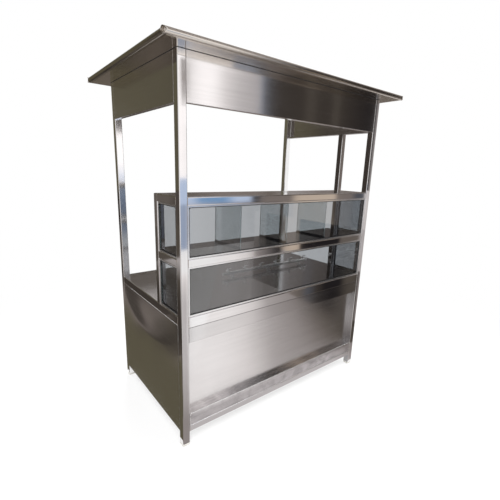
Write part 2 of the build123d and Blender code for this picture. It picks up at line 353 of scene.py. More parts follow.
@dataclass(frozen=True)
class Steel:
    """Stainless steel with a brushed grain, wiped patches and the slow waves of a thin sheet."""

    name: str
    tint: Colour = (0.80, 0.785, 0.785)
    roughness: float = 0.12
    metal: float = 1.0  # less where a dull skin scatters light
    grain: Grain = Grain.ALONG_X
    anisotropy: float = 0.0
    turn: float = 0.0  # of the brushed highlight, as a share of a full turn
    streak: float = 0.05  # roughness that the grain adds and takes
    smudge: float = 0.06  # roughness that wiped patches add
    wear: float = 0.10  # share of the tint that the dullest patches lose
    patches: float = 1.0  # how much finer the wiped patches are
    bulge: float = 0.0  # depth of the sheet's slow waves
    bulge_waves: float = 2.0  # per metre
    dent: Dent | None = None
    shaded_recess: float = 0.0  # half the width between inner faces that get painted shade beside the front panel
    slot: str = "tube_steel"
    grain_waves: ClassVar[tuple[float, float]] = (70.0, 0.9)  # per metre, across and along the grain
    patch_waves: ClassVar[Point] = (3.0, 2.5, 3.5)  # of the wiped patches, per metre
    patch_edge: ClassVar[tuple[float, float]] = (0.35, 0.80)  # noise at which a patch starts and is full
    brightest: ClassVar[float] = 1.06  # factor on the tint
    even_tone: ClassVar[float] = 0.6  # share of the brightest tint between streaks
    streak_tone: ClassVar[float] = 0.7  # range of that share over the streaks
    shaded_recess_skin: ClassVar[tuple[float, float]] = (0.0003, 0.0010)  # depth at which an inner face ends
    shaded_recess_top: ClassVar[tuple[float, float]] = (0.66, 0.76)  # heights between which the painted shade ends
    painted_recess_shade: ClassVar[float] = 0.45  # factor on the tint where shade is painted

    def material(self) -> bpy.types.Material:
        """The finish as a material."""
        shader = Shader(self.name)
        broad = shader.noise(self.grain.stretch(*self.grain_waves), detail=3.0)
        patches = shader.noise(shade(self.patch_waves, self.patches), detail=3.0, warp=0.4)
        wiped = shader.between(patches, *self.patch_edge)
        rough = self.roughness + (broad - 0.5) * (2.0 * self.streak) + wiped * self.smudge
        worn = (broad - 0.5) * self.streak_tone + self.even_tone - wiped * (2.0 * self.wear)
        colour = shader.blend(worn, shade(self.tint, 1.0 - self.wear), shade(self.tint, self.brightest))
        # painted shade: the inner faces beside the recessed front panel are darkened below the counter rail
        if self.shaded_recess:
            skin = (self.shaded_recess + depth for depth in self.shaded_recess_skin)
            outside = shader.between(abs(shader.axis(0)), *skin)
            above = shader.between(shader.axis(2), *self.shaded_recess_top)
            inside = (1.0 - outside) * (1.0 - above)
            colour = shader.blend(inside, colour, shade(self.tint, self.painted_recess_shade))
        sockets: dict[str | int, Any] = {
            "Base Color": colour,
            "Metallic": self.metal,
            "Roughness": rough,
            "Anisotropic": self.anisotropy,
            "Anisotropic Rotation": self.turn,
        }
        if self.bulge:
            waves = shader.noise((self.bulge_waves,) * 3, detail=0.0)
            sockets["Normal"] = shader.bump(waves, self.bulge)
        if self.dent:
            sockets["Normal"] = shader.bump(self.dent.height(shader), self.dent.depth, sockets.get("Normal"))
        return shader.surface(shader.principled(sockets))


@dataclass(frozen=True)
class Pane:
    """Float glass: a mirror that grows towards the edge of sight, over a clear tint, with ground edges."""

    name: str
    tint: Colour = (0.645, 0.66, 0.675)
    edge: Colour = (0.62, 0.80, 0.78)
    across: int = 1  # axis that the pane's faces look along
    head_on: float = 0.10  # share that is mirrored when seen head on
    slot: str = "glass"
    growth: ClassVar[float] = 5.0  # power with which the mirrored share grows towards the edge of sight
    polish: ClassVar[float] = 0.02  # roughness of the faces
    film: ClassVar[float] = 0.05  # mirrored share that wiped smears add
    smear_waves: ClassVar[Point] = (7.0, 5.0, 3.0)  # per metre
    smear_edge: ClassVar[tuple[float, float]] = (0.5, 0.8)  # noise at which a smear starts and is full
    ground: ClassVar[float] = 0.75  # share of the edges that is ground dull
    ground_edge: ClassVar[tuple[float, float]] = (0.4, 0.6)  # turn at which an edge starts and is full
    ground_roughness: ClassVar[float] = 0.35
    ground_tones: ClassVar[tuple[float, float]] = (0.85, 1.1)  # factors on the edges' colour

    def material(self) -> bpy.types.Material:
        """The finish as a material."""
        shader = Shader(self.name)
        smear = shader.noise(self.smear_waves, detail=4.0, warp=1.2)
        film = shader.between(smear, *self.smear_edge) * self.film
        grazing = Value(shader, shader.node("ShaderNodeLayerWeight", None, {"Blend": 0.5}).outputs["Facing"])
        mirror = self.head_on + grazing**self.growth * (1.0 - self.head_on)
        clear = shader.node("ShaderNodeBsdfTransparent", None, {"Color": (*self.tint, 1.0)})
        sockets = {"Color": (1.0, 1.0, 1.0, 1.0), "Roughness": self.polish}
        gloss = shader.node("ShaderNodeBsdfGlossy", None, sockets)
        face = shader.mix(mirror + film, clear, gloss)
        flat = shader.facing(self.across)
        dark, bright = (shade(self.edge, tone) for tone in self.ground_tones)
        colour = shader.blend(smear, dark, bright)
        ground = shader.principled({"Base Color": colour, "Roughness": self.ground_roughness})
        share = shader.between(1.0 - flat, *self.ground_edge) * self.ground
        return shader.surface(shader.mix(share, face, ground))


@dataclass(frozen=True)
class Moulded:
    """Rubber or plastic with a fine moulded skin and dust towards the ground."""

    name: str
    tint: Colour
    roughness: float = 0.55
    waves: float = 900.0  # of the skin, per metre
    skin: float = 1.5e-5  # depth of the skin
    dust: Colour = (0.30, 0.27, 0.23)
    dust_top: float = 0.0  # height that dust reaches from the ground
    slot: str = ""
    cloud_waves: ClassVar[float] = 30.0  # of the uneven tint, per metre
    cloud_tones: ClassVar[tuple[float, float]] = (0.85, 1.12)  # factors on the tint
    cloud_roughness: ClassVar[float] = 0.2  # range of the roughness

    def material(self) -> bpy.types.Material:
        """The finish as a material."""
        shader = Shader(self.name)
        skin = shader.noise((self.waves,) * 3)
        cloud = shader.noise((self.cloud_waves,) * 3, detail=3.0)
        dark, bright = (shade(self.tint, tone) for tone in self.cloud_tones)
        colour = shader.blend(cloud, dark, bright)
        if self.dust_top:
            low = 1.0 - shader.between(shader.axis(2), 0.0, self.dust_top)
            colour = shader.blend(low * cloud, colour, self.dust)
        sockets = {
            "Base Color": colour,
            "Roughness": self.roughness + (cloud - 0.5) * self.cloud_roughness,
            "Normal": shader.bump(skin, self.skin),
        }
        return shader.surface(shader.principled(sockets))


@dataclass(frozen=True)
class WeldMetal:
    """Weld ripples, duller than the tube, with straw and blue heat colours."""

    name: str
    tint: Colour = (0.58, 0.55, 0.52)
    straw: Colour = (0.56, 0.44, 0.30)
    blue: Colour = (0.36, 0.39, 0.50)
    slot: str = "tube_steel"
    heat_waves: ClassVar[float] = 45.0  # per metre
    straw_edge: ClassVar[tuple[float, float]] = (0.45, 0.65)  # heat at which straw starts and is full
    straw_share: ClassVar[float] = 0.7
    blue_edge: ClassVar[tuple[float, float]] = (0.62, 0.8)  # heat at which blue starts and is full
    blue_share: ClassVar[float] = 0.6
    pit_waves: ClassVar[float] = 1200.0  # per metre
    pit_depth: ClassVar[float] = 1e-5
    roughness: ClassVar[tuple[float, float]] = (0.30, 0.15)  # where cold, and what heat adds

    def material(self) -> bpy.types.Material:
        """The finish as a material."""
        shader = Shader(self.name)
        heat = shader.noise((self.heat_waves,) * 3)
        straw = shader.between(heat, *self.straw_edge) * self.straw_share
        colour = shader.blend(straw, self.tint, self.straw)
        blue = shader.between(heat, *self.blue_edge) * self.blue_share
        colour = shader.blend(blue, colour, self.blue)
        cold, hotter = self.roughness
        sockets = {
            "Base Color": colour,
            "Metallic": 1.0,
            "Roughness": cold + heat * hotter,
            "Normal": shader.bump(shader.noise((self.pit_waves,) * 3), self.pit_depth),
        }
        return shader.surface(shader.principled(sockets))


TUBE_X = Steel("tube_along_x", grain=Grain.ALONG_X, roughness=0.06, streak=0.03, smudge=0.05)
TUBE_Y = replace(TUBE_X, name="tube_along_y", grain=Grain.ALONG_Y)
TUBE_Z = replace(TUBE_X, name="tube_upright", grain=Grain.ALONG_Z)
# the front posts' inner faces get painted shade beside the front panel, below the counter rail
FRONT_POST = replace(TUBE_Z, name="front_post_tube", shaded_recess=0.755)
BACK_POST = replace(TUBE_Z, name="back_post_tube", tint=(0.90, 0.89, 0.89), roughness=0.11)
FRONT_SHEET = Steel(
    "satin_front_sheet", roughness=0.21, anisotropy=0.4, turn=0.25, bulge=0.004, slot="panel_steel"
)
BAND_SHEET = Steel(
    "bright_band_sheet", tint=(0.70, 0.685, 0.685), streak=0.04, bulge=0.002, slot="panel_steel"
)
SKIRTING = replace(
    BAND_SHEET, name="scuffed_skirting_sheet", tint=(0.82, 0.80, 0.805), smudge=0.16, wear=0.34, patches=3.6
)
HEM = Steel("polished_hem", tint=(0.88, 0.87, 0.86), roughness=0.20, metal=0.75, slot="panel_steel")
SIDE_SHEET = Steel(
    "satin_side_sheet", roughness=0.17, grain=Grain.ALONG_Y, bulge=0.008, bulge_waves=2.6, slot="panel_steel"
)
DENTED_SHEET = replace(
    SIDE_SHEET, name="dented_side_sheet", dent=Dent(centre=(0.0, 0.73), reach=(0.44, 0.21), depth=0.011)
)
DECK_SHEET = Steel(
    "dull_deck_sheet", tint=(0.66, 0.65, 0.64), roughness=0.40, metal=0.5, smudge=0.12, slot="panel_steel"
)
VALANCE_FRONT = Steel(
    "valance_sheet_front",
    roughness=0.11,
    anisotropy=0.5,
    turn=0.25,
    streak=0.02,
    smudge=0.03,
    bulge=0.004,
    slot="valance_steel",
)
VALANCE_SIDE = Steel(
    "valance_sheet_side", roughness=0.16, grain=Grain.ALONG_Y, streak=0.03, bulge=0.004, slot="valance_steel"
)
ROOF_SHEET = Steel(
    "roof_sheet_metal",
    tint=(0.66, 0.62, 0.57),
    roughness=0.18,
    bulge=0.002,
    bulge_waves=1.5,
    slot="roof_steel",
)
SOFFIT = Steel("soffit_sheet", tint=(0.82, 0.765, 0.69), roughness=0.12, bulge=0.003, slot="roof_steel")
WORKTOP = Steel("worktop_sheet", roughness=0.14, streak=0.04, smudge=0.10, bulge=0.0008, slot="worktop_steel")
BEAD = Steel(
    "bead_channel", tint=(0.80, 0.79, 0.79), roughness=0.18, metal=0.95, streak=0.03, smudge=0.03, slot="bead"
)
PLATED = Steel(
    "plated_fittings",
    tint=(0.90, 0.89, 0.87),
    roughness=0.26,
    metal=0.3,
    streak=0.02,
    smudge=0.06,
    slot="gas_fittings",
)
RIVET = Steel("rivet_metal", tint=(0.70, 0.70, 0.70), roughness=0.24, smudge=0.1, slot="tube_steel")
FRONT_PANE = Pane("pane_front", across=1)
SIDE_PANE = Pane("pane_side", across=0)
PARTITION_PANE = Pane(
    "pane_partition", tint=(0.80, 0.83, 0.84), edge=(0.70, 0.84, 0.82), across=0, slot="partition_glass"
)
RUBBER = Moulded("glazing_rubber_black", tint=(0.018, 0.018, 0.019), roughness=0.6)
CHANNEL = Moulded("channel_black", tint=(0.03, 0.03, 0.032), roughness=0.42, skin=6e-6)
NYLON = Moulded(
    "foot_nylon", tint=(0.74, 0.73, 0.69), roughness=0.45, skin=1e-5, dust_top=0.02, slot="nylon"
)
WELD = WeldMetal("weld_ripples")
Finish = Steel | Pane | Moulded | WeldMetal


class FinishBook:
    """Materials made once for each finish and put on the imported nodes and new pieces."""

    def __init__(self, nodes: Mapping[str, bpy.types.Object]) -> None:
        """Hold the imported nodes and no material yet."""
        self.nodes = nodes
        self.made: dict[str, bpy.types.Material] = {}
        self.dressed: set[str] = set()

    def of(self, finish: Finish) -> bpy.types.Material:
        """The finish's material, made at its first use."""
        if finish.name not in self.made:
            self.made[finish.name] = finish.material()
        return self.made[finish.name]

    def dress(self, finish: Finish, *names: str) -> None:
        """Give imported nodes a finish.

        Args:
            finish: The finish.
            names: The nodes' names.
        """
        for name in names:
            node = self.nodes[name]
            if not node.material_slots:
                node.data.materials.append(None)
            for slot in node.material_slots:
                slot.material = self.of(finish)
            self.dressed.add(name)

    def piece(self, made: bpy.types.Object, finish: Finish) -> None:
        """Join a new piece to the kiosk's body.

        Args:
            made: The piece, whose mesh already has the finish's material.
            finish: Not used.
        """
        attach(made, BODY)
        log.info("%s: %d faces", made.name, len(made.data.polygons))

    def grow(
        self, detail: Detail, name: str, guide: bpy.types.Mesh, finish: Finish, sizes: Mapping[str, float]
    ) -> None:
        """Run a detail over its guide and join the new piece to the kiosk."""
        made = detail.make(name, guide, {**sizes, "Material": self.of(finish)})
        self.piece(made, finish)


# Repeated and swept details


class Detail(Graph):
    """A Geometry Nodes tree with named inputs that turns guide lines or points into a mesh."""

    def __init__(self, name: str, sizes: Sequence[str]) -> None:
        """Start the tree.

        Args:
            name: Name of the tree.
            sizes: Names of the length inputs.
        """
        super().__init__(bpy.data.node_groups.new(name, "GeometryNodeTree"))
        add = self.tree.interface.new_socket
        add("Geometry", in_out="INPUT", socket_type="NodeSocketGeometry")
        for size in sizes:
            add(size, in_out="INPUT", socket_type="NodeSocketFloat")
        add("Material", in_out="INPUT", socket_type="NodeSocketMaterial")
        add("Geometry", in_out="OUTPUT", socket_type="NodeSocketGeometry")
        self.given = self.node("NodeGroupInput").outputs

    def end(self, mesh: bpy.types.NodeSocket) -> None:
        """Realize the instances, smooth the faces and give them the material.

        Args:
            mesh: Geometry to end with.
        """
        real = self.node("GeometryNodeRealizeInstances", None, {0: mesh})
        smooth = self.node("GeometryNodeSetShadeSmooth", None, {"Geometry": real.outputs[0]})
        done = self.node(
            "GeometryNodeSetMaterial",
            None,
            {"Geometry": smooth.outputs[0], "Material": self.given["Material"]},
        )
        self.node("NodeGroupOutput", None, {0: done.outputs[0]})

    def axis(self) -> bpy.types.Node:
        """The direction that is stored on each guide point."""
        return self.node("GeometryNodeInputNamedAttribute", {"data_type": "FLOAT_VECTOR"}, {"Name": "axis"})

    def put(
        self, points: bpy.types.NodeSocket, instance: bpy.types.Node, way: bpy.types.Node, **more: Any
    ) -> None:
        """End with an instance on each point.

        Args:
            points: The points.
            instance: Node that makes the instance.
            way: Node that gives the direction of each instance's Z axis.
            more: Other inputs of the instancing node.
        """
        turned = self.node("FunctionNodeAlignRotationToVector", {"axis": "Z"}, {"Vector": way.outputs[0]})
        placed = self.node(
            "GeometryNodeInstanceOnPoints",
            None,
            {"Points": points, "Instance": instance.outputs[0], "Rotation": turned.outputs[0], **more},
        )
        self.end(placed.outputs[0])

    def make(self, name: str, guide: bpy.types.Mesh, values: Mapping[str, Any]) -> bpy.types.Object:
        """Run the tree over a guide mesh and keep the result as a plain mesh.

        Args:
            name: Name of the piece.
            guide: Guide points or lines.
            values: Values of the tree's inputs by their names.

        Returns:
            The piece, without a modifier.
        """
        made = link(name, guide)
        modifier = made.modifiers.new("detail", "NODES")
        modifier.node_group = self.tree
        for item in self.tree.interface.items_tree:
            if item.item_type == "SOCKET" and item.in_out == "INPUT" and item.name in values:
                modifier[item.identifier] = values[item.name]
        graph = bpy.context.evaluated_depsgraph_get()
        mesh = bpy.data.meshes.new_from_object(made.evaluated_get(graph), depsgraph=graph)
        made.modifiers.clear()
        made.data = mesh
        mesh.name = name
        return made


class SweptCord(Detail):
    """A round cord along closed guide loops, whose corners it rounds."""

    SIDES = 8
    CORNER_STEPS = 5

    def __init__(self) -> None:
        """Build the tree."""
        super().__init__("swept_cord", ("Cord radius", "Corner radius"))
        loops = self.node("GeometryNodeMeshToCurve", None, {0: self.given["Geometry"]})
        rounded = self.node(
            "GeometryNodeFilletCurve",
            {"mode": "POLY"},
            {"Curve": loops.outputs[0], "Count": self.CORNER_STEPS, "Radius": self.given["Corner radius"]},
        )
        round_cord = {"Resolution": self.SIDES, "Radius": self.given["Cord radius"]}
        section = self.node("GeometryNodeCurvePrimitiveCircle", None, round_cord)
        swept = self.node("GeometryNodeCurveToMesh", None, {0: rounded.outputs[0], 1: section.outputs[0]})
        self.end(swept.outputs[0])


class WeldRipples(Detail):
    """Overlapping ripples along guide lines."""

    SEED = 7
    SMALLEST = 0.86  # factors on the bead's radius
    LARGEST = 1.12

    def __init__(self) -> None:
        """Build the tree."""
        super().__init__("weld_ripples", ("Bead radius", "Ripple"))
        runs = self.node("GeometryNodeMeshToCurve", None, {0: self.given["Geometry"]})
        steps = self.node(
            "GeometryNodeResampleCurve",
            {"mode": "LENGTH"},
            {"Curve": runs.outputs[0], "Length": self.given["Ripple"]},
        )
        ripple = self.node(
            "GeometryNodeMeshIcoSphere", None, {"Radius": self.given["Bead radius"], "Subdivisions": 1}
        )
        tangent = self.node("GeometryNodeInputTangent")
        size = self.node(
            "FunctionNodeRandomValue",
            {"data_type": "FLOAT"},
            {"Min_001": self.SMALLEST, "Max_001": self.LARGEST, "Seed": self.SEED},
        )
        self.put(steps.outputs[0], ripple, tangent, Scale=size.outputs[1])


class RivetHeads(Detail):
    """Domed rivet heads with the stub of the drawn pin, one on each guide point along its "axis"."""

    FLATNESS = 0.45  # factor on the dome's height
    PIN_LIFT = 0.62  # middle of the pin, as a share of the head's height
    SEGMENTS = 10  # of the dome, round its axis
    RINGS = 6  # of the whole ball that the dome is the top of
    PIN_SIDES = 8

    def __init__(self) -> None:
        """Build the tree."""
        super().__init__("rivet_heads", ("Head radius", "Head height", "Pin radius"))
        dome = self.node(
            "GeometryNodeMeshUVSphere",
            None,
            {"Segments": self.SEGMENTS, "Rings": self.RINGS, "Radius": self.given["Head radius"]},
        )
        flat = self.node("ShaderNodeCombineXYZ", None, {0: 1.0, 1: 1.0, 2: self.FLATNESS})
        head = self.node(
            "GeometryNodeTransform", None, {"Geometry": dome.outputs[0], "Scale": flat.outputs[0]}
        )
        pin = self.node(
            "GeometryNodeMeshCylinder",
            None,
            {
                "Vertices": self.PIN_SIDES,
                "Radius": self.given["Pin radius"],
                "Depth": self.given["Head height"],
            },
        )
        lift = Value(self, self.given["Head height"]) * self.PIN_LIFT
        raised = self.node("ShaderNodeCombineXYZ", None, {2: lift})
        stub = self.node(
            "GeometryNodeTransform", None, {"Geometry": pin.outputs[0], "Translation": raised.outputs[0]}
        )
        rivet = self.node("GeometryNodeJoinGeometry")
        for part in (head, stub):
            self.tree.links.new(part.outputs[0], rivet.inputs[0])
        self.put(self.given["Geometry"], rivet, self.axis())


class RollCurls(Detail):
    """The sheet's last turns inside an open roll, one curl on each guide point along its "axis"."""

    TURNS = 2.4
    STEPS = 14  # in each turn

    def __init__(self) -> None:
        """Build the tree."""
        super().__init__("roll_curls", ("Outer radius", "Inner radius", "Sheet", "Length"))
        turns = self.node(
            "GeometryNodeCurveSpiral",
            None,
            {
                "Resolution": self.STEPS,
                "Rotations": self.TURNS,
                "Start Radius": self.given["Inner radius"],
                "End Radius": self.given["Outer radius"],
                "Height": 0.0,
            },
        )
        upright = self.node("GeometryNodeSetCurveNormal", {"mode": "Z_UP"}, {"Curve": turns.outputs[0]})
        section = self.node(
            "GeometryNodeCurvePrimitiveQuadrilateral",
            {"mode": "RECTANGLE"},
            {"Width": self.given["Sheet"], "Height": self.given["Length"]},
        )
        curl = self.node(
            "GeometryNodeCurveToMesh", None, {0: upright.outputs[0], 1: section.outputs[0], "Fill Caps": True}
        )
        self.put(self.given["Geometry"], curl, self.axis())


def guide_lines(name: str, runs: Iterable[Sequence[Point]], closed: bool) -> bpy.types.Mesh:
    """A mesh of edges for a Detail to follow.

    Args:
        name: Name of the mesh.
        runs: Points of each line.
        closed: True if the lines are loops.

    Returns:
        The mesh.
    """
    points: list[Point] = []
    edges: list[tuple[int, int]] = []
    for run in runs:
        first = len(points)
        points.extend(run)
        edges.extend((first + i, first + i + 1) for i in range(len(run) - 1))
        if closed:
            edges.append((len(points) - 1, first))
    mesh = bpy.data.meshes.new(name)
    mesh.from_pydata(points, edges, [])
    return mesh


def guide_points(name: str, points: Sequence[tuple[Point, Point]]) -> bpy.types.Mesh:
    """A mesh of points with the direction that each head faces.

    Args:
        name: Name of the mesh.
        points: Place and direction of each point.

    Returns:
        The mesh.
    """
    mesh = bpy.data.meshes.new(name)
    mesh.from_pydata([place for place, _ in points], [], [])
    axis = mesh.attributes.new("axis", "FLOAT_VECTOR", "POINT")
    for item, (_, direction) in zip(axis.data, points):
        item.vector = direction
    return mesh


def spread(first: float, last: float, count: int) -> list[float]:
    """Evenly spaced numbers from first to last, of which there are two or more."""
    return [first + (last - first) * i / (count - 1) for i in range(count)]


# Sub-assemblies


class Face(Enum):
    """A side of a tube, as axis and direction."""

    LEFT = (0, -1)
    RIGHT = (0, 1)
    FRONT = (1, -1)
    BACK = (1, 1)
    UNDER = (2, -1)


@dataclass
class Welds:
    """Weld runs across the ends of the tubes where they meet the posts."""

    book: FinishBook
    radius: float = 0.0019
    ripple: float = 0.0017
    sink: float = 0.0012  # of the ripples' middle under the tube's face
    runs: list[list[Point]] = field(default_factory=list)

    def tube_end(self, node: str, along: int, faces: Sequence[Face], inset: float = 0.0) -> None:
        """Add runs across chosen faces at both ends of a tube.

        Args:
            node: The tube's node.
            along: Axis that the tube runs along.
            faces: Faces that show a weld.
            inset: How far the runs lie inside the tube's ends.
        """
        low, high = (list(corner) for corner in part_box(node))
        for end in (low[along] + inset, high[along] - inset):
            for face in faces:
                axis, way = face.value
                across = 3 - axis - along
                level = high[axis] - self.sink if way > 0 else low[axis] + self.sink
                run = []
                for reach in (low[across] + self.radius, high[across] - self.radius):
                    point = [0.0, 0.0, 0.0]
                    point[along], point[axis], point[across] = end, level, reach
                    run.append(tuple(point))
                self.runs.append(run)

    def build(self) -> None:
        """Sweep the ripples along all the runs."""
        for node in ("base_rail_front", "base_rail_back"):
            out = Face.FRONT if node.endswith("front") else Face.BACK
            self.tube_end(node, 0, (out, Face.UNDER))
        self.tube_end("counter_rail_front", 0, (Face.FRONT, Face.BACK))
        self.tube_end("counter_rail_back", 0, (Face.FRONT, Face.BACK, Face.UNDER))
        self.tube_end("case_top_rail_front", 0, (Face.FRONT, Face.BACK))
        self.tube_end("case_top_rail_back", 0, (Face.FRONT, Face.BACK, Face.UNDER))
        self.tube_end("shelf_rail_front", 0, (Face.FRONT, Face.UNDER))
        for side, out, inside in (("left", Face.LEFT, Face.RIGHT), ("right", Face.RIGHT, Face.LEFT)):
            for rail in ("counter_rail", "shelf_rail", "case_top_rail"):
                self.tube_end(f"{rail}_{side}", 1, (out, inside))
        guide = guide_lines("weld_guides", self.runs, closed=False)
        sizes = {"Bead radius": self.radius, "Ripple": self.ripple}
        self.book.grow(WeldRipples(), "weld_beads", guide, WELD, sizes)


@dataclass
class PostFrame:
    """Corner posts, their feet and the tubes of the base."""

    book: FinishBook

    def dress(self) -> None:
        """Give the posts, feet and base tubes their finishes."""
        self.book.dress(FRONT_POST, "post_front_left", "post_front_right")
        self.book.dress(BACK_POST, "post_back_left", "post_back_right")
        self.book.dress(NYLON, "post_feet")
        self.book.dress(TUBE_X, "base_rail_front", "base_rail_back")
        self.book.dress(TUBE_Y, "base_rails_side")


@dataclass
class BaseCabinet:
    """Closed base with its deck, panels, skirting and apron."""

    book: FinishBook
    rivet_radius: float = 0.0042
    rivet_height: float = 0.0019
    pin_radius: float = 0.0013
    deck_rivets: int = 6
    edge: float = 0.022  # rivets stand this far in from the deck's long edges
    deck_margin: float = 0.09  # from the deck's ends to its first rivets
    panel_rivets: int = 5
    panel_margin: float = 0.08  # from a side panel's ends to its first rivets
    hem_radius: float = 0.0020
    hem_corner: float = 0.004
    hem_sink: float = 0.0012  # of the hem's middle behind the skirting's face

    def dress(self) -> None:
        """Give the sheets their finishes."""
        self.book.dress(FRONT_SHEET, "front_panel")
        self.book.dress(BAND_SHEET, "apron_front")
        self.book.dress(SKIRTING, "skirting_front")
        self.book.dress(DENTED_SHEET, "left_panel")
        self.book.dress(SIDE_SHEET, "right_panel")
        self.book.dress(DECK_SHEET, "base_deck")

    def hem(self) -> None:
        """Sweep a rounded hem along the edges of the skirting's face."""
        low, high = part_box("skirting_front")
        left, right = low.x + self.hem_radius, high.x - self.hem_radius
        under, top = low.z + self.hem_radius, high.z - self.hem_sink
        y = low.y + self.hem_sink
        loop = [(left, y, under), (right, y, under), (right, y, top), (left, y, top)]
        guide = guide_lines("hem_guide", [loop], closed=True)
        sizes = {"Cord radius": self.hem_radius, "Corner radius": self.hem_corner}
        self.book.grow(SweptCord(), "skirting_hem", guide, HEM, sizes)

    def rivets(self) -> list[tuple[Point, Point]]:
        """Places of the rivets that hold the deck and the panels' folds.

        Returns:
            Place and direction of each rivet.
        """
        low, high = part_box("base_deck")
        found: list[tuple[Point, Point]] = []
        for x in spread(low.x + self.deck_margin, high.x - self.deck_margin, self.deck_rivets):
            found.append(((x, high.y - self.edge, high.z), (0.0, 0.0, 1.0)))
        for side in ("left", "right"):
            panel_low, panel_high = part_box(f"{side}_panel")
            middle = (panel_low.x + panel_high.x) / 2
            first, last = panel_low.y + self.panel_margin, panel_high.y - self.panel_margin
            for y in spread(first, last, self.panel_rivets):
                found.append(((middle, y, panel_low.z), (0.0, 0.0, -1.0)))
        return found


@dataclass
class Counter:
    """Counter tubes, the worktop and the gas rail on it."""

    book: FinishBook

    def dress(self) -> None:
        """Give the tubes, the worktop and the gas fittings their finishes."""
        self.book.dress(TUBE_X, "counter_rail_front", "counter_rail_back")
        self.book.dress(TUBE_Y, "counter_rail_left", "counter_rail_right")
        self.book.dress(WORKTOP, "counter_top")
        self.book.dress(PLATED, "gas_rail", "gas_rail_saddles", "gas_cocks")


@dataclass
class DisplayCase:
    """Glazed case on the counter: tubes, shelf, panes, rubber and partition channels."""

    book: FinishBook
    bead_width: float = 0.009
    bead_depth: float = 0.012
    bead_setback: float = 0.004
    glass: float = 0.005
    cord_radius: float = 0.0024
    cord_squeeze: float = 0.6  # share of the cord's radius that stands clear of a bead
    cord_reach: float = 0.7  # share of the cord's radius that stands clear of the glass
    corner_radius: float = 0.011
    channel_wall: float = 0.0016
    channel_height: float = 0.010
    channel_play: float = 0.0004
    channel_floor: float = 0.4  # share of the wall's thickness
    screw_radius: float = 0.0030
    screw_height: float = 0.0012
    screw_pin: float = 0.0009
    screws_across: int = 8
    screw_margin: float = 0.06  # from the ends of a front bead to its first screws
    side_margin: float = 0.045  # from the ends of a side bead to its screws

    def dress(self) -> None:
        """Give the tubes, sheets and panes their finishes."""
        self.book.dress(TUBE_Z, "case_post_left", "case_post_right")
        self.book.dress(TUBE_X, "case_top_rail_front", "case_top_rail_back", "shelf_rail_front")
        for side in ("left", "right"):
            self.book.dress(TUBE_Y, f"case_top_rail_{side}", f"shelf_rail_{side}")
            self.book.dress(SIDE_PANE, f"{side}_glass")
        self.book.dress(WORKTOP, "display_shelf", "case_top")
        self.book.dress(BEAD, "glazing_beads")
        self.book.dress(FRONT_PANE, "front_glass")
        self.book.dress(PARTITION_PANE, "shelf_partitions")

    def levels(self) -> list[tuple[float, float]]:
        """Lower and upper edge of the lower and the upper row of openings."""
        worktop, shelf_rail, top_rail = (
            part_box(name) for name in ("counter_top", "shelf_rail_front", "case_top_rail_front")
        )
        return [(worktop[1].z, shelf_rail[0].z), (shelf_rail[1].z, top_rail[0].z)]

    def rubber(self) -> None:
        """Sweep black cords between the beads and the panes, on both faces of the glass."""
        post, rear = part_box("post_front_left"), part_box("case_post_left")
        trim = self.bead_width + self.cord_radius * self.cord_squeeze
        middle = self.bead_setback + self.bead_depth / 2
        loops: list[list[Point]] = []
        for low, high in self.levels():
            bottom, top = low + trim, high - trim
            clear = self.glass / 2 + self.cord_radius * self.cord_reach
            for off in (-clear, clear):
                y = post[0].y + middle + off
                half = -post[1].x - trim
                loops.append([(-half, y, bottom), (half, y, bottom), (half, y, top), (-half, y, top)])
                x = -post[0].x - middle - off
                front, back = post[1].y + trim, rear[0].y - trim
                ring = ((front, bottom), (back, bottom), (back, top), (front, top))
                for side in (-x, x):
                    loops.append([(side, along, up) for along, up in ring])
        guide = guide_lines("rubber_guides", loops, closed=True)
        sizes = {"Cord radius": self.cord_radius, "Corner radius": self.corner_radius}
        self.book.grow(SweptCord(), "glazing_rubber", guide, RUBBER, sizes)

    def channels(self) -> None:
        """Make black U channels that hold the partitions' feet on the shelf."""
        low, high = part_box("shelf_partitions")
        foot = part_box("display_shelf")[1].z
        inner = self.glass / 2 + self.channel_play
        outer = inner + self.channel_wall
        floor = self.channel_wall * self.channel_floor
        profile = [
            (-outer, 0.0),
            (outer, 0.0),
            (outer, self.channel_height),
            (inner, self.channel_height),
            (inner, floor),
            (-inner, floor),
            (-inner, self.channel_height),
            (-outer, self.channel_height),
        ]
        middles = (low.x + self.glass / 2, (low.x + high.x) / 2, high.x - self.glass / 2)
        shape = bmesh.new()
        for middle in middles:
            near = [shape.verts.new((middle + x, low.y, foot + z)) for x, z in profile]
            far = [shape.verts.new((middle + x, high.y, foot + z)) for x, z in profile]
            count = len(profile)
            for i in range(count):
                j = (i + 1) % count
                shape.faces.new((near[i], near[j], far[j], far[i]))
            for ring in (near, far):
                shape.faces.new((ring[0], ring[1], ring[4], ring[5]))
                shape.faces.new((ring[1], ring[2], ring[3], ring[4]))
                shape.faces.new((ring[5], ring[6], ring[7], ring[0]))
        bmesh.ops.recalc_face_normals(shape, faces=shape.faces[:])
        mesh = bpy.data.meshes.new("partition_channels")
        shape.to_mesh(mesh)
        shape.free()
        mesh.materials.append(self.book.of(CHANNEL))
        self.book.piece(link("partition_channels", mesh), CHANNEL)

    def screws(self) -> list[tuple[Point, Point]]:
        """Places of the screws that hold the beads, on their inside.

        Returns:
            Place and direction of each screw.
        """
        post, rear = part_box("post_front_left"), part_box("case_post_left")
        inside = self.bead_setback + self.bead_depth
        half = -post[1].x - self.bead_width / 2
        found: list[tuple[Point, Point]] = []
        for low, high in self.levels():
            for z in (low + self.bead_width / 2, high - self.bead_width / 2):
                for x in spread(-half + self.screw_margin, half - self.screw_margin, self.screws_across):
                    found.append(((x, post[0].y + inside, z), (0.0, 1.0, 0.0)))
                for y in (post[1].y + self.side_margin, rear[0].y - self.side_margin):
                    for side in (-1.0, 1.0):
                        place = (side * (-post[0].x - inside), y, z)
                        found.append((place, (-side, 0.0, 0.0)))
        return found


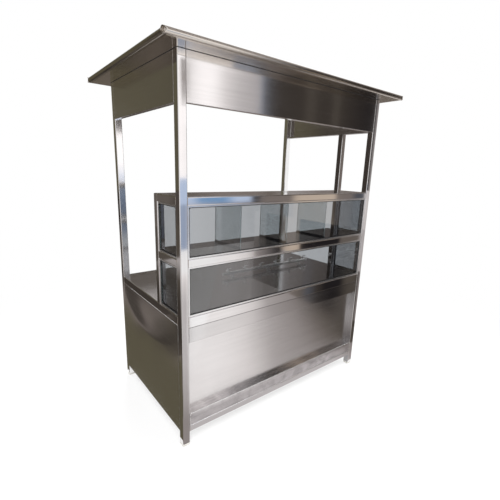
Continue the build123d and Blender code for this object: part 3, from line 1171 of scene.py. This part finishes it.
@dataclass
class Canopy:
    """Valances, roof tubes, ceiling and roof sheet."""

    book: FinishBook
    rivets_per_rail: int = 7
    rivet_margin: float = 0.07  # from the posts to the first rivets
    rail_middle: float = 0.020  # in from a roof tube's outer face
    # a dark cord of painted shadow along the gap between the soffit and the posts and valances
    shade_line_radius: float = 0.0016
    shade_line_corner: float = 0.004
    shade_line_sink: float = 0.3  # share of the cord's radius that lies under the soffit
    roll_radius: float = 0.015
    curl_outer: float = 0.0132
    curl_inner: float = 0.0066
    curl_sheet: float = 0.0011
    curl_length: float = 0.050
    curl_inset: float = 0.014  # clears the roof's rounded corners

    def dress(self) -> None:
        """Give the sheets and the roof tubes their finishes."""
        self.book.dress(VALANCE_FRONT, "valance_front")
        self.book.dress(VALANCE_SIDE, "valance_left", "valance_right")
        self.book.dress(TUBE_X, "roof_rails")
        self.book.dress(ROOF_SHEET, "roof_sheet")
        self.book.dress(SOFFIT, "ceiling_sheet")

    def shade_line(self) -> None:
        """Sweep a dark cord round the posts and valances, under the soffit, as a painted shadow in the gap
        there.
        """
        low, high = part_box("post_front_left")[0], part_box("post_back_right")[1]
        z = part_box("ceiling_sheet")[0].z - self.shade_line_radius * self.shade_line_sink
        loop = [(low.x, low.y, z), (high.x, low.y, z), (high.x, high.y, z), (low.x, high.y, z)]
        guide = guide_lines("shade_line_guide", [loop], closed=True)
        sizes = {"Cord radius": self.shade_line_radius, "Corner radius": self.shade_line_corner}
        self.book.grow(SweptCord(), "soffit_shade_line", guide, RUBBER, sizes)

    def curls(self) -> None:
        """Make the sheet's inner turns, in the open ends of the front and back rolls."""
        low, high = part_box("roof_sheet")
        reach = high.x - self.curl_length / 2 - self.curl_inset
        ends: list[tuple[Point, Point]] = []
        for y in (low.y + self.roll_radius, high.y - self.roll_radius):
            for way in (-1.0, 1.0):
                ends.append(((way * reach, y, high.z - self.roll_radius), (way, 0.0, 0.0)))
        sizes = {
            "Outer radius": self.curl_outer,
            "Inner radius": self.curl_inner,
            "Sheet": self.curl_sheet,
            "Length": self.curl_length,
        }
        self.book.grow(RollCurls(), "roof_roll_curls", guide_points("curl_guides", ends), ROOF_SHEET, sizes)

    def rivets(self) -> list[tuple[Point, Point]]:
        """Places of the rivets up through the roof tubes.

        Returns:
            Place and direction of each rivet.
        """
        low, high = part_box("roof_rails")
        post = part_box("post_front_left")
        side = low.x + self.rail_middle
        first_x, first_y = post[1].x + self.rivet_margin, post[1].y + self.rivet_margin
        places: list[tuple[float, float]] = []
        for y in (low.y + self.rail_middle, high.y - self.rail_middle):
            places.extend((x, y) for x in spread(first_x, -first_x, self.rivets_per_rail))
        for x in (side, -side):
            places.extend((x, y) for y in spread(first_y, -first_y, self.rivets_per_rail - 2))
        return [((x, y, low.z), (0.0, 0.0, -1.0)) for x, y in places]


# Stage


# Tones of the studio's cards
GLARE = (1.25, 1.21, 1.20)
WHITE = (1.00, 0.97, 0.96)
PALE = (0.80, 0.76, 0.75)
SILVER = (0.58, 0.55, 0.55)
ASH = (0.45, 0.42, 0.41)
GREY = (0.32, 0.29, 0.28)
STONE = (0.21, 0.18, 0.165)
BROWN = (0.14, 0.12, 0.105)
UMBER = (0.09, 0.077, 0.064)
DARK = (0.048, 0.040, 0.034)
BLACK = (0.016, 0.014, 0.015)
OLIVE = (0.115, 0.102, 0.068)
BEIGE = (0.58, 0.48, 0.39)
SKY = (0.54, 0.65, 0.85)
BLUE = (0.20, 0.37, 0.62)
HAZE = (0.35, 0.42, 0.56)
SLATE = (0.09, 0.095, 0.11)


@dataclass(frozen=True)
class Flag:
    """A studio card that only polished surfaces see: a quad with a tone along its first side."""

    name: str
    corner: Point
    along: Point
    up: Point
    stops: tuple[tuple[float, Colour], ...]

    def build(self) -> None:
        """Make the card as part of the stage."""
        origin, along, up = Vector(self.corner), Vector(self.along), Vector(self.up)
        corners = (origin, origin + along, origin + along + up, origin + up)
        mesh = bpy.data.meshes.new(self.name)
        mesh.from_pydata([tuple(corner) for corner in corners], [], [(0, 1, 2, 3)])
        layer = mesh.uv_layers.new(name="card")
        for loop, uv in zip(layer.data, ((0.0, 0.0), (1.0, 0.0), (1.0, 1.0), (0.0, 1.0))):
            loop.uv = uv
        shader = Shader(self.name)
        place = shader.node("ShaderNodeTexCoord").outputs["UV"]
        across = shader.node("ShaderNodeSeparateXYZ", None, {0: place}).outputs[0]
        tone = shader.node("ShaderNodeValToRGB", {"stops": self.stops}, {0: across})
        glow = shader.node("ShaderNodeEmission", None, {"Color": tone.outputs[0], "Strength": 1.0})
        mesh.materials.append(shader.surface(glow))
        card = link(self.name, mesh)
        card.visible_camera = False
        card.visible_diffuse = False
        card.visible_transmission = False
        card.visible_shadow = False


@dataclass(frozen=True)
class Lamp:
    """A soft square lamp."""

    name: str
    place: Point
    aim: Point
    size: float
    power: float

    def build(self) -> None:
        """Hang the lamp where no polished surface shows it."""
        light = bpy.data.lights.new(self.name, "AREA")
        light.shape, light.size, light.energy = "SQUARE", self.size, self.power
        lamp = link(self.name, light)
        lamp.location = self.place
        lamp.rotation_euler = (Vector(self.aim) - Vector(self.place)).to_track_quat("-Z", "Y").to_euler()
        lamp.visible_glossy = False


@dataclass
class Studio:
    """White room, lamps, cards and the camera of the photograph."""

    fill: float = 0.75  # world light on plain surfaces
    floor_size: float = 60.0
    floor_tone: float = 0.90
    floor_glow: float = 0.62  # share of even white that eyes and mirrors see on the floor by the kiosk
    shadow_reach: tuple[float, float] = (1.0, 3.2)  # distance over which the floor fades to even white
    camera_place: Point = (-1.577, -2.0065, 1.5874)
    camera_turn: Point = (76.22, -1.824, -38.042)  # degrees
    lens: float = 24.834
    sensor_width: float = 36.0
    sight: tuple[float, float] = (0.05, 100.0)  # nearest and farthest that the camera sees
    shift: tuple[float, float] = (0.0012, 0.0088)
    glass_faces: int = 24  # that a ray may cross: two for each of five panes, and more in mirrors
    lamps: tuple[Lamp, ...] = (
        Lamp("key", (-2.6, -3.6, 4.6), (0.0, 0.0, 0.9), 2.6, 260.0),
        Lamp("side", (3.6, -1.6, 3.6), (0.0, 0.0, 1.0), 2.4, 120.0),
        Lamp("work", (0.2, 2.3, 2.0), (0.1, 0.0, 0.85), 0.8, 45.0),
    )
    flags: tuple[Flag, ...] = (
        Flag(
            "wall_left_low", (-7.0, 3.5, 0.0), (7.2, 0.0, 0.0), (0.0, 0.0, 0.6),
            ((0.0, UMBER), (1.0, UMBER)),
        ),
        Flag(
            "wall_left_mid", (-7.0, 3.5, 0.6), (7.2, 0.0, 0.0), (0.0, 0.0, 0.6),
            ((0.0, DARK), (0.575, DARK), (0.615, BROWN), (0.66, BROWN), (0.70, DARK), (0.80, BLACK),
             (1.0, UMBER)),
        ),
        Flag(
            "wall_left_high", (-7.0, 3.5, 1.2), (7.2, 0.0, 0.0), (0.0, 0.0, 3.4),
            ((0.0, DARK), (0.54, DARK), (0.58, OLIVE), (0.88, OLIVE), (1.0, BROWN)),
        ),
        Flag(
            "wall_back", (0.2, 3.5, 0.0), (11.8, 0.0, 0.0), (0.0, 0.0, 4.6),
            ((0.0, UMBER), (0.06, UMBER), (0.16, STONE), (0.23, STONE), (0.265, BROWN), (0.32, GREY),
             (0.40, STONE), (0.60, BROWN), (1.0, BROWN)),
        ),
        Flag(
            "wall_far_left", (-7.0, 3.5, 0.0), (0.0, -9.5, 0.0), (0.0, 0.0, 4.6),
            ((0.0, STONE), (0.20, ASH), (0.36, WHITE), (0.60, PALE), (1.0, GREY)),
        ),
        Flag(
            "screen_right_high", (1.55, -2.75, 1.42), (0.0, 2.065, 0.0), (0.0, 0.0, 2.3),
            ((0.0, HAZE), (0.03, SLATE), (0.15, DARK), (0.40, DARK), (0.45, UMBER), (0.50, DARK),
             (0.58, DARK), (0.615, UMBER), (0.66, DARK), (0.855, BLACK), (0.865, ASH), (0.88, BROWN),
             (1.0, STONE)),
        ),
        Flag(
            "screen_right_mid", (1.55, -2.75, 1.02), (0.0, 2.065, 0.0), (0.0, 0.0, 0.4),
            ((0.0, DARK), (0.035, DARK), (0.05, STONE), (0.325, STONE), (0.393, BEIGE), (0.658, BEIGE),
             (0.684, STONE), (0.76, STONE), (0.80, SLATE), (0.835, SLATE), (0.85, PALE), (0.92, STONE),
             (1.0, GREY)),
        ),
        Flag(
            "screen_right_shelf", (1.55, -2.75, 0.57), (0.0, 2.065, 0.0), (0.0, 0.0, 0.45),
            ((0.0, GREY), (0.11, STONE), (0.137, BLACK), (0.256, BLACK), (0.308, BEIGE), (0.422, BEIGE),
             (0.438, BLACK), (0.712, BLACK), (0.73, BROWN), (0.836, BROWN), (0.848, SILVER),
             (0.92, STONE), (1.0, GREY)),
        ),
        Flag(
            "screen_right_low", (1.55, -2.75, 0.0), (0.0, 2.065, 0.0), (0.0, 0.0, 0.57),
            ((0.0, GREY), (0.256, BLACK), (0.308, ASH), (0.376, STONE), (0.46, BROWN), (0.52, SLATE),
             (0.59, DARK), (0.65, BLACK), (0.745, BLACK), (0.79, UMBER), (0.836, UMBER), (0.856, DARK),
             (0.863, GREY), (0.876, GREY), (0.888, DARK), (1.0, UMBER)),
        ),
        Flag(
            "wall_front_high", (0.2, -4.0, 1.42), (2.6, 0.0, 0.0), (0.0, 0.0, 1.85),
            ((0.0, GLARE), (0.34, GLARE), (0.38, WHITE), (0.48, GLARE), (0.57, GLARE), (0.65, PALE),
             (0.76, SILVER), (1.0, ASH)),
        ),
        Flag(
            "wall_front_top", (0.2, -4.0, 3.27), (2.6, 0.0, 0.0), (0.0, 0.0, 1.33),
            ((0.0, PALE), (0.20, BEIGE), (0.36, PALE), (0.44, GLARE), (0.70, GLARE), (0.80, PALE),
             (0.92, ASH), (1.0, GREY)),
        ),
        Flag(
            "wall_front_mid", (0.2, -4.0, 1.005), (2.6, 0.0, 0.0), (0.0, 0.0, 0.415),
            ((0.0, SKY), (0.38, SKY), (0.46, BLUE), (0.63, BLUE), (0.74, SKY), (0.86, SKY), (0.885, DARK),
             (1.0, DARK)),
        ),
        Flag(
            "wall_front_low", (0.2, -4.0, 0.25), (2.6, 0.0, 0.0), (0.0, 0.0, 0.755),
            ((0.0, HAZE), (0.34, HAZE), (0.40, SILVER), (0.50, ASH), (0.70, STONE), (1.0, SLATE)),
        ),
        Flag(
            "front_spot", (1.02, -3.95, 2.48), (0.0, 0.0, 0.66), (0.12, 0.0, 0.0),
            ((0.0, WHITE), (0.30, ASH), (0.55, STONE), (1.0, BROWN)),
        ),
        Flag(
            "front_glint", (-0.45, -1.2, 1.878), (0.0, 0.0, 0.117), (0.47, 0.0, 0.0),
            ((0.0, GLARE), (1.0, GLARE)),
        ),
        Flag(
            "back_glint", (-1.30, 3.45, 2.19), (0.0, 0.0, 0.29), (2.25, 0.0, 0.0),
            ((0.0, WHITE), (0.45, SILVER), (1.0, PALE)),
        ),
        Flag(
            "mat_left", (-7.0, -6.0, 0.004), (6.18, 0.0, 0.0), (0.0, 9.5, 0.0),
            ((0.0, SILVER), (0.50, PALE), (0.70, ASH), (0.78, UMBER), (0.845, DARK), (0.888, DARK),
             (0.902, STONE), (0.922, STONE), (0.94, OLIVE), (1.0, OLIVE)),
        ),
        Flag(
            "mat_patch", (-1.55, 0.45, 0.006), (0.0, 0.85, 0.0), (0.33, 0.0, 0.0),
            ((0.0, UMBER), (0.35, DARK), (0.70, DARK), (1.0, BROWN)),
        ),
        Flag(
            "mat_front", (-0.82, -0.50, 0.004), (6.0, 0.0, 0.0), (4.1, -5.5, 0.0),
            ((0.0, WHITE), (0.05, WHITE), (0.105, PALE), (0.145, ASH), (0.21, GREY), (0.27, BROWN),
             (0.30, UMBER), (0.38, DARK), (0.46, BROWN), (1.0, GREY)),
        ),
        Flag(
            "mat_post", (-0.755, -0.47, 0.008), (1.644, -3.073, 0.0), (-0.30, 0.0, 0.0),
            ((0.0, GREY), (0.06, GREY), (0.12, ASH), (0.25, SILVER), (0.64, SILVER), (0.87, PALE),
             (1.0, WHITE)),
        ),
        Flag(
            "mat_near", (-0.82, -0.50, 0.006), (2.4, 0.0, 0.0), (0.0, -0.18, 0.0),
            ((0.0, SILVER), (0.62, SILVER), (0.75, GREY), (1.0, STONE)),
        ),
        Flag(
            "mat_back", (-0.82, 0.50, 0.004), (0.0, 3.0, 0.0), (7.8, 0.0, 0.0),
            ((0.0, GREY), (0.30, PALE), (1.0, SILVER)),
        ),
        Flag(
            "mat_right", (0.84, -0.50, 0.004), (6.0, 0.0, 0.0), (0.0, 1.0, 0.0),
            ((0.0, STONE), (0.25, PALE), (1.0, SILVER)),
        ),
        Flag(
            "ceiling", (-7.0, -4.5, 4.6), (0.0, 8.0, 0.0), (14.0, 0.0, 0.0),
            ((0.0, GREY), (0.32, GREY), (0.34, WHITE), (0.37, WHITE), (0.39, STONE), (0.55, GREY),
             (0.75, WHITE), (1.0, SILVER)),
        ),
    )

    def world(self) -> None:
        """White for eyes, mirrors and glass; plain light for the rest."""
        world = bpy.data.worlds.new("white_room")
        world.use_nodes = True
        world.node_tree.nodes.clear()
        bpy.context.scene.world = world
        graph = Graph(world.node_tree)
        seen = self.seen(graph)
        plain = graph.node("ShaderNodeBackground", None, {0: (1.0, 1.0, 1.0, 1.0), 1: self.fill})
        white = graph.node("ShaderNodeBackground", None, {0: (1.0, 1.0, 1.0, 1.0), 1: 1.0})
        both = graph.mix(seen, plain, white)
        graph.node("ShaderNodeOutputWorld", None, {"Surface": both.outputs[0]})

    @staticmethod
    def seen(graph: Graph) -> Value:
        """1 for rays from the camera, off mirrors and through glass, and 0 for others.

        Args:
            graph: Graph that the nodes join.

        Returns:
            The value.
        """
        path = graph.node("ShaderNodeLightPath").outputs
        kinds = ("Is Camera Ray", "Is Glossy Ray", "Is Transmission Ray")
        rays = [Value(graph, path[kind]) for kind in kinds]
        total = rays[0] + rays[1] + rays[2]
        capped = graph.node("ShaderNodeClamp", None, {"Value": total})
        return Value(graph, capped.outputs[0])

    def floor(self) -> None:
        """Lay a white floor that keeps the kiosk's shadow."""
        half = self.floor_size / 2
        mesh = bpy.data.meshes.new("floor")
        corners = [(-half, -half, 0.0), (half, -half, 0.0), (half, half, 0.0), (-half, half, 0.0)]
        mesh.from_pydata(corners, [], [(0, 1, 2, 3)])
        shader = Shader("floor_white")
        tone = (self.floor_tone,) * 3
        lit = shader.node("ShaderNodeBsdfDiffuse", None, {"Color": (*tone, 1.0)})
        even = shader.node("ShaderNodeEmission", None, {"Color": (1.0, 1.0, 1.0, 1.0), "Strength": 1.0})
        away = shader.node("ShaderNodeVectorMath", {"operation": "LENGTH"}, {0: shader.place()})
        even_out = shader.between(Value(shader, away.outputs["Value"]), *self.shadow_reach)
        share = self.seen(shader) * (self.floor_glow + even_out * (1.0 - self.floor_glow))
        mesh.materials.append(shader.surface(shader.mix(share, lit, even)))
        link("floor", mesh)

    def camera(self) -> None:
        """Put the camera at the photograph's place."""
        data = bpy.data.cameras.new("photo_camera")
        data.lens, data.sensor_width = self.lens, self.sensor_width
        data.shift_x, data.shift_y = self.shift
        data.clip_start, data.clip_end = self.sight
        camera = link("photo_camera", data)
        camera.location = self.camera_place
        camera.rotation_euler = tuple(math.radians(angle) for angle in self.camera_turn)
        bpy.context.scene.camera = camera

    def build(self) -> None:
        """Set the stage."""
        scene = bpy.context.scene
        scene.view_settings.view_transform = "Standard"
        scene.cycles.transparent_max_bounces = self.glass_faces
        self.world()
        self.floor()
        for lamp in self.lamps:
            lamp.build()
        for flag in self.flags:
            flag.build()
        self.camera()


def main() -> None:
    """Load the frame, dress it, add the small pieces and set the stage."""
    logging.basicConfig(level=logging.INFO, format="%(name)s %(message)s", stream=sys.stdout)
    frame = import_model()
    book = FinishBook(frame["nodes"])
    base, case, canopy = BaseCabinet(book), DisplayCase(book), Canopy(book)
    for part in (PostFrame(book), base, Counter(book), case, canopy):
        part.dress()
        log.info("%s dressed", type(part).__name__)
    bare = sorted(set(frame["nodes"]) - book.dressed)
    if bare:
        raise ValueError(f"nodes without a finish: {bare}")
    base.hem()
    case.rubber()
    case.channels()
    # painted shadow line in the gap under the soffit
    canopy.shade_line()
    canopy.curls()
    Welds(book).build()
    heads = RivetHeads()
    for name, places, radius, height, pin in (
        ("rivets", base.rivets() + canopy.rivets(), base.rivet_radius, base.rivet_height, base.pin_radius),
        ("bead_screws", case.screws(), case.screw_radius, case.screw_height, case.screw_pin),
    ):
        sizes = {"Head radius": radius, "Head height": height, "Pin radius": pin}
        book.grow(heads, name, guide_points(f"{name}_guides", places), RIVET, sizes)
    Studio().build()


if __name__ == "__main__":
    main()
